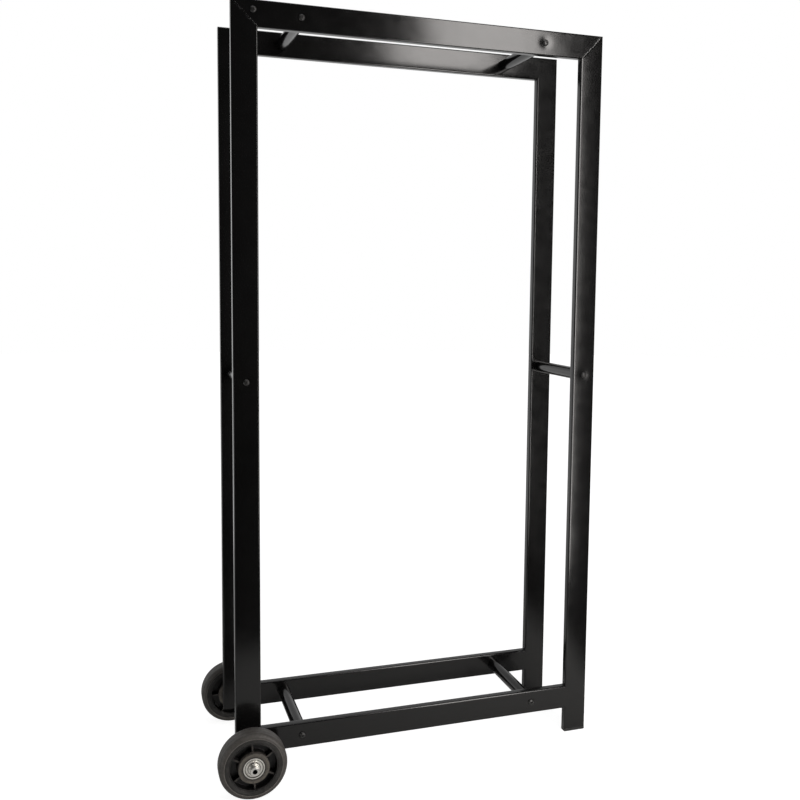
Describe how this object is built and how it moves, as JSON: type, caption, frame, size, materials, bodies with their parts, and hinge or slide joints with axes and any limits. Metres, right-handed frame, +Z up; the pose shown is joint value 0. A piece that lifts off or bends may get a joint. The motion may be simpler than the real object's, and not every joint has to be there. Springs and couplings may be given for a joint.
{
  "type": "rolling two-frame storage rack",
  "caption": "Tall narrow rack of two flat-tube frames held apart by round spacers, standing on feet at one side and wheels at the other",
  "frame": {"origin": "on the floor, at the centre of the object's outline seen from above", "axes": "+X from the wheel side to the foot side, +Y from the front frame to the rear frame, +Z up"},
  "size_m": [0.618, 0.3132, 1.15],
  "materials": {
    "black_powder_coat": "satin black powder coat",
    "black_screw": "black oxide",
    "cap_plastic": "fine grain",
    "tyre_rubber": "matt",
    "hub_plastic": "moulded satin",
    "zinc_steel": "bright zinc plate",
    "bearing_steel": "ground and pressed steel"
  },
  "bodies": {
    "rack": {"front_left_post": "black_powder_coat", "front_right_post": "black_powder_coat", "front_top_rail": "black_powder_coat", "front_bottom_rail": "black_powder_coat", "front_frame_welds": "black_powder_coat", "front_spacer_inserts": "zinc_steel", "front_spacer_screws": "black_screw", "front_foot_cap": "cap_plastic", "front_axle_bearing_inner_rings": "bearing_steel", "front_axle_sleeve": "zinc_steel", "front_axle_stand_off": "zinc_steel", "front_axle_distance_tube": "zinc_steel", "front_axle_washer": "zinc_steel", "front_axle_nut": "zinc_steel", "front_axle_bolt": "zinc_steel", "rear_left_post": "black_powder_coat", "rear_right_post": "black_powder_coat", "rear_top_rail": "black_powder_coat", "rear_bottom_rail": "black_powder_coat", "rear_frame_welds": "black_powder_coat", "rear_spacer_inserts": "zinc_steel", "rear_spacer_screws": "black_screw", "rear_foot_cap": "cap_plastic", "rear_axle_bearing_inner_rings": "bearing_steel", "rear_axle_sleeve": "zinc_steel", "rear_axle_stand_off": "zinc_steel", "rear_axle_distance_tube": "zinc_steel", "rear_axle_washer": "zinc_steel", "rear_axle_nut": "zinc_steel", "rear_axle_bolt": "zinc_steel", "top_left_spacer": "black_powder_coat", "top_right_spacer": "black_powder_coat", "mid_left_spacer": "black_powder_coat", "mid_right_spacer": "black_powder_coat", "bottom_left_spacer": "black_powder_coat", "bottom_right_spacer": "black_powder_coat", "corner_screw": "black_screw"},
    "front_wheel": {"front_wheel_tyre": "tyre_rubber", "front_wheel_hub": "hub_plastic", "front_wheel_bearing_outer_rings": "bearing_steel", "front_wheel_bearing_shields": "bearing_steel", "front_wheel_bearing_balls": "bearing_steel"},
    "rear_wheel": {"rear_wheel_tyre": "tyre_rubber", "rear_wheel_hub": "hub_plastic", "rear_wheel_bearing_outer_rings": "bearing_steel", "rear_wheel_bearing_shields": "bearing_steel", "rear_wheel_bearing_balls": "bearing_steel"}
  },
  "joints": [
    {"name": "front_wheel_spin", "type": "hinge", "parent": "rack", "child": "front_wheel", "pos_m": [-0.259, -0.1295, 0.05], "axis": [0, 1, 0], "continuous": true},
    {"name": "rear_wheel_spin", "type": "hinge", "parent": "rack", "child": "rear_wheel", "pos_m": [-0.259, 0.1295, 0.05], "axis": [0, 1, 0], "continuous": true}
  ]
}
